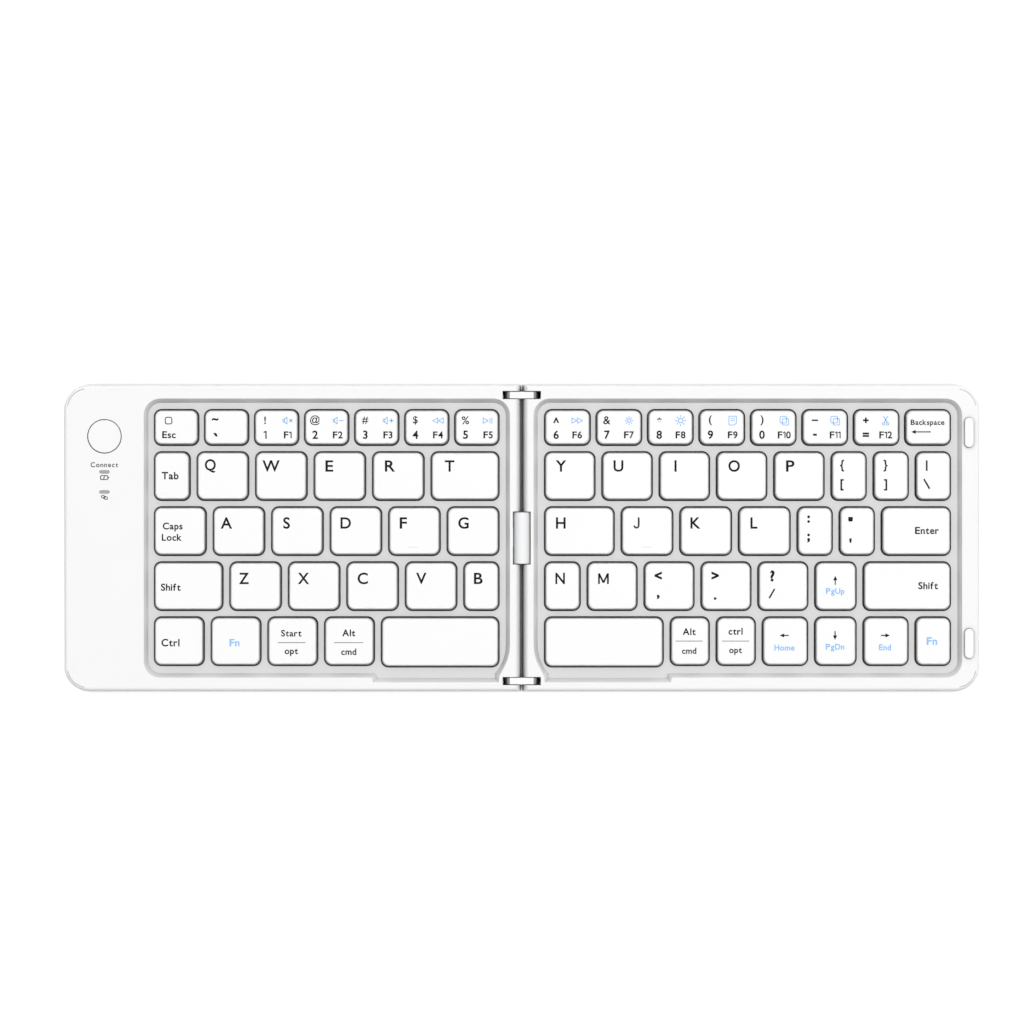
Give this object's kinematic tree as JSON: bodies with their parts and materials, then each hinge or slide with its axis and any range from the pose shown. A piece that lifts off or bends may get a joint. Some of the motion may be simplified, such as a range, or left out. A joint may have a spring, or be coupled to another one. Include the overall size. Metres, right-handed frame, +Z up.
{
  "type": "folding keyboard",
  "caption": "Slim keyboard that folds in half like a book on twin-pin metal links, with travelling keys in two recessed wells and a connect button.",
  "frame": {"origin": "middle of the unfolded keyboard's footprint, on the surface that it rests on", "axes": "+X to the right along the rows, +Y towards the number row, +Z up"},
  "size_m": [0.2918, 0.0974, 0.0088],
  "materials": {
    "case_white": "fine satin grain",
    "case_under": "fine satin grain",
    "plate_grey": "satin",
    "key_white": "smooth satin",
    "link_metal": "polished",
    "pin_steel": "drawn",
    "steel_sheet": "rolled",
    "dome_rubber": "translucent silicone",
    "scissor_plastic": "natural",
    "board_green": "solder mask",
    "cell_foil": "foil pouch",
    "port_shell": "plated",
    "lens_clear": "translucent",
    "button_white": "smooth",
    "pad_rubber": "matt silicone",
    "magnet_metal": "nickel plated",
    "barrel_plastic": "satin",
    "flex_film": "polyimide film"
  },
  "bodies": {
    "left_half": {"left_bottom_cover": "case_under", "left_top_frame": "case_white", "left_key_plate": "plate_grey", "left_base_plate": "steel_sheet", "left_dome_sheet": "dome_rubber", "left_scissor_frames": "scissor_plastic", "main_circuit_board": "board_green", "battery": "cell_foil", "charging_port": "port_shell", "indicator_lenses": "lens_clear", "left_magnets": "magnet_metal", "left_feet": "pad_rubber", "left_screws": "pin_steel", "cable_barrel": "barrel_plastic", "flex_cable": "flex_film"},
    "right_half": {"right_bottom_cover": "case_under", "right_top_frame": "case_white", "right_key_plate": "plate_grey", "right_base_plate": "steel_sheet", "right_dome_sheet": "dome_rubber", "right_scissor_frames": "scissor_plastic", "right_magnets": "magnet_metal", "right_rubber_pads": "pad_rubber", "right_screws": "pin_steel"},
    "hinge_link": {"hinge_links": "link_metal", "hinge_pins": "pin_steel"},
    "connect_button": {"connect_button": "button_white"},
    "key_q": {"key_q": "key_white"},
    "key_w": {"key_w": "key_white"},
    "key_e": {"key_e": "key_white"},
    "key_r": {"key_r": "key_white"},
    "key_t": {"key_t": "key_white"},
    "key_y": {"key_y": "key_white"},
    "key_u": {"key_u": "key_white"},
    "key_i": {"key_i": "key_white"},
    "key_o": {"key_o": "key_white"},
    "key_p": {"key_p": "key_white"},
    "key_a": {"key_a": "key_white"},
    "key_s": {"key_s": "key_white"},
    "key_d": {"key_d": "key_white"},
    "key_f": {"key_f": "key_white"},
    "key_g": {"key_g": "key_white"},
    "key_h": {"key_h": "key_white"},
    "key_j": {"key_j": "key_white"},
    "key_k": {"key_k": "key_white"},
    "key_l": {"key_l": "key_white"},
    "key_z": {"key_z": "key_white"},
    "key_x": {"key_x": "key_white"},
    "key_c": {"key_c": "key_white"},
    "key_v": {"key_v": "key_white"},
    "key_b": {"key_b": "key_white"},
    "key_n": {"key_n": "key_white"},
    "key_m": {"key_m": "key_white"},
    "left_number_keys": {"left_number_keys": "key_white"},
    "left_modifier_keys": {"left_modifier_keys": "key_white"},
    "right_number_keys": {"right_number_keys": "key_white"},
    "right_punctuation_keys": {"right_punctuation_keys": "key_white"},
    "right_modifier_keys": {"right_modifier_keys": "key_white"},
    "left_space_key": {"left_space_key": "key_white"},
    "right_space_key": {"right_space_key": "key_white"}
  },
  "joints": [
    {"name": "left_fold", "type": "hinge", "parent": "left_half", "child": "hinge_link", "pos_m": [-0.0034, 0, 0.0051], "axis": [0, -1, 0], "range_deg": [0, 90], "deforming": ["flex_cable"]},
    {"name": "right_fold", "type": "hinge", "parent": "hinge_link", "child": "right_half", "pos_m": [0.0034, 0, 0.0051], "axis": [0, -1, 0], "range_deg": [0, 90]},
    {"name": "key_q_press", "type": "slide", "parent": "left_half", "child": "key_q", "axis": [0, 0, -1], "range_m": [0, 0.0015], "stiffness_N_per_m": 300, "springref_m": -0.0005, "deforming": ["left_dome_sheet", "left_scissor_frames"]},
    {"name": "key_w_press", "type": "slide", "parent": "left_half", "child": "key_w", "axis": [0, 0, -1], "range_m": [0, 0.0015], "stiffness_N_per_m": 300, "springref_m": -0.0005, "deforming": ["left_dome_sheet", "left_scissor_frames"]},
    {"name": "key_e_press", "type": "slide", "parent": "left_half", "child": "key_e", "axis": [0, 0, -1], "range_m": [0, 0.0015], "stiffness_N_per_m": 300, "springref_m": -0.0005, "deforming": ["left_dome_sheet", "left_scissor_frames"]},
    {"name": "key_r_press", "type": "slide", "parent": "left_half", "child": "key_r", "axis": [0, 0, -1], "range_m": [0, 0.0015], "stiffness_N_per_m": 300, "springref_m": -0.0005, "deforming": ["left_dome_sheet", "left_scissor_frames"]},
    {"name": "key_t_press", "type": "slide", "parent": "left_half", "child": "key_t", "axis": [0, 0, -1], "range_m": [0, 0.0015], "stiffness_N_per_m": 300, "springref_m": -0.0005, "deforming": ["left_dome_sheet", "left_scissor_frames"]},
    {"name": "key_y_press", "type": "slide", "parent": "right_half", "child": "key_y", "axis": [0, 0, -1], "range_m": [0, 0.0015], "stiffness_N_per_m": 300, "springref_m": -0.0005, "deforming": ["right_dome_sheet", "right_scissor_frames"]},
    {"name": "key_u_press", "type": "slide", "parent": "right_half", "child": "key_u", "axis": [0, 0, -1], "range_m": [0, 0.0015], "stiffness_N_per_m": 300, "springref_m": -0.0005, "deforming": ["right_dome_sheet", "right_scissor_frames"]},
    {"name": "key_i_press", "type": "slide", "parent": "right_half", "child": "key_i", "axis": [0, 0, -1], "range_m": [0, 0.0015], "stiffness_N_per_m": 300, "springref_m": -0.0005, "deforming": ["right_dome_sheet", "right_scissor_frames"]},
    {"name": "key_o_press", "type": "slide", "parent": "right_half", "child": "key_o", "axis": [0, 0, -1], "range_m": [0, 0.0015], "stiffness_N_per_m": 300, "springref_m": -0.0005, "deforming": ["right_dome_sheet", "right_scissor_frames"]},
    {"name": "key_p_press", "type": "slide", "parent": "right_half", "child": "key_p", "axis": [0, 0, -1], "range_m": [0, 0.0015], "stiffness_N_per_m": 300, "springref_m": -0.0005, "deforming": ["right_dome_sheet", "right_scissor_frames"]},
    {"name": "key_a_press", "type": "slide", "parent": "left_half", "child": "key_a", "axis": [0, 0, -1], "range_m": [0, 0.0015], "stiffness_N_per_m": 300, "springref_m": -0.0005, "deforming": ["left_dome_sheet", "left_scissor_frames"]},
    {"name": "key_s_press", "type": "slide", "parent": "left_half", "child": "key_s", "axis": [0, 0, -1], "range_m": [0, 0.0015], "stiffness_N_per_m": 300, "springref_m": -0.0005, "deforming": ["left_dome_sheet", "left_scissor_frames"]},
    {"name": "key_d_press", "type": "slide", "parent": "left_half", "child": "key_d", "axis": [0, 0, -1], "range_m": [0, 0.0015], "stiffness_N_per_m": 300, "springref_m": -0.0005, "deforming": ["left_dome_sheet", "left_scissor_frames"]},
    {"name": "key_f_press", "type": "slide", "parent": "left_half", "child": "key_f", "axis": [0, 0, -1], "range_m": [0, 0.0015], "stiffness_N_per_m": 300, "springref_m": -0.0005, "deforming": ["left_dome_sheet", "left_scissor_frames"]},
    {"name": "key_g_press", "type": "slide", "parent": "left_half", "child": "key_g", "axis": [0, 0, -1], "range_m": [0, 0.0015], "stiffness_N_per_m": 300, "springref_m": -0.0005, "deforming": ["left_dome_sheet", "left_scissor_frames"]},
    {"name": "key_h_press", "type": "slide", "parent": "right_half", "child": "key_h", "axis": [0, 0, -1], "range_m": [0, 0.0015], "stiffness_N_per_m": 300, "springref_m": -0.0005, "deforming": ["right_dome_sheet", "right_scissor_frames"]},
    {"name": "key_j_press", "type": "slide", "parent": "right_half", "child": "key_j", "axis": [0, 0, -1], "range_m": [0, 0.0015], "stiffness_N_per_m": 300, "springref_m": -0.0005, "deforming": ["right_dome_sheet", "right_scissor_frames"]},
    {"name": "key_k_press", "type": "slide", "parent": "right_half", "child": "key_k", "axis": [0, 0, -1], "range_m": [0, 0.0015], "stiffness_N_per_m": 300, "springref_m": -0.0005, "deforming": ["right_dome_sheet", "right_scissor_frames"]},
    {"name": "key_l_press", "type": "slide", "parent": "right_half", "child": "key_l", "axis": [0, 0, -1], "range_m": [0, 0.0015], "stiffness_N_per_m": 300, "springref_m": -0.0005, "deforming": ["right_dome_sheet", "right_scissor_frames"]},
    {"name": "key_z_press", "type": "slide", "parent": "left_half", "child": "key_z", "axis": [0, 0, -1], "range_m": [0, 0.0015], "stiffness_N_per_m": 300, "springref_m": -0.0005, "deforming": ["left_dome_sheet", "left_scissor_frames"]},
    {"name": "key_x_press", "type": "slide", "parent": "left_half", "child": "key_x", "axis": [0, 0, -1], "range_m": [0, 0.0015], "stiffness_N_per_m": 300, "springref_m": -0.0005, "deforming": ["left_dome_sheet", "left_scissor_frames"]},
    {"name": "key_c_press", "type": "slide", "parent": "left_half", "child": "key_c", "axis": [0, 0, -1], "range_m": [0, 0.0015], "stiffness_N_per_m": 300, "springref_m": -0.0005, "deforming": ["left_dome_sheet", "left_scissor_frames"]},
    {"name": "key_v_press", "type": "slide", "parent": "left_half", "child": "key_v", "axis": [0, 0, -1], "range_m": [0, 0.0015], "stiffness_N_per_m": 300, "springref_m": -0.0005, "deforming": ["left_dome_sheet", "left_scissor_frames"]},
    {"name": "key_b_press", "type": "slide", "parent": "left_half", "child": "key_b", "axis": [0, 0, -1], "range_m": [0, 0.0015], "stiffness_N_per_m": 300, "springref_m": -0.0005, "deforming": ["left_dome_sheet", "left_scissor_frames"]},
    {"name": "key_n_press", "type": "slide", "parent": "right_half", "child": "key_n", "axis": [0, 0, -1], "range_m": [0, 0.0015], "stiffness_N_per_m": 300, "springref_m": -0.0005, "deforming": ["right_dome_sheet", "right_scissor_frames"]},
    {"name": "key_m_press", "type": "slide", "parent": "right_half", "child": "key_m", "axis": [0, 0, -1], "range_m": [0, 0.0015], "stiffness_N_per_m": 300, "springref_m": -0.0005, "deforming": ["right_dome_sheet", "right_scissor_frames"]},
    {"name": "left_number_keys_press", "type": "slide", "parent": "left_half", "child": "left_number_keys", "axis": [0, 0, -1], "range_m": [0, 0.0015], "stiffness_N_per_m": 2100, "springref_m": -0.0005, "deforming": ["left_dome_sheet", "left_scissor_frames"]},
    {"name": "left_modifier_keys_press", "type": "slide", "parent": "left_half", "child": "left_modifier_keys", "axis": [0, 0, -1], "range_m": [0, 0.0015], "stiffness_N_per_m": 2100, "springref_m": -0.0005, "deforming": ["left_dome_sheet", "left_scissor_frames"]},
    {"name": "right_number_keys_press", "type": "slide", "parent": "right_half", "child": "right_number_keys", "axis": [0, 0, -1], "range_m": [0, 0.0015], "stiffness_N_per_m": 2400, "springref_m": -0.0005, "deforming": ["right_dome_sheet", "right_scissor_frames"]},
    {"name": "right_punctuation_keys_press", "type": "slide", "parent": "right_half", "child": "right_punctuation_keys", "axis": [0, 0, -1], "range_m": [0, 0.0015], "stiffness_N_per_m": 2400, "springref_m": -0.0005, "deforming": ["right_dome_sheet", "right_scissor_frames"]},
    {"name": "right_modifier_keys_press", "type": "slide", "parent": "right_half", "child": "right_modifier_keys", "axis": [0, 0, -1], "range_m": [0, 0.0015], "stiffness_N_per_m": 2700, "springref_m": -0.0005, "deforming": ["right_dome_sheet", "right_scissor_frames"]},
    {"name": "left_space_key_press", "type": "slide", "parent": "left_half", "child": "left_space_key", "axis": [0, 0, -1], "range_m": [0, 0.0015], "stiffness_N_per_m": 300, "springref_m": -0.0005, "deforming": ["left_dome_sheet", "left_scissor_frames"]},
    {"name": "right_space_key_press", "type": "slide", "parent": "right_half", "child": "right_space_key", "axis": [0, 0, -1], "range_m": [0, 0.0015], "stiffness_N_per_m": 300, "springref_m": -0.0005, "deforming": ["right_dome_sheet", "right_scissor_frames"]},
    {"name": "connect_button_press", "type": "slide", "parent": "left_half", "child": "connect_button", "axis": [0, 0, -1], "range_m": [0, 0.00025], "stiffness_N_per_m": 1500, "springref_m": -0.0003}
  ],
  "couplings": [
    {"joint": "right_fold", "follows": "left_fold", "ratio": 1}
  ]
}
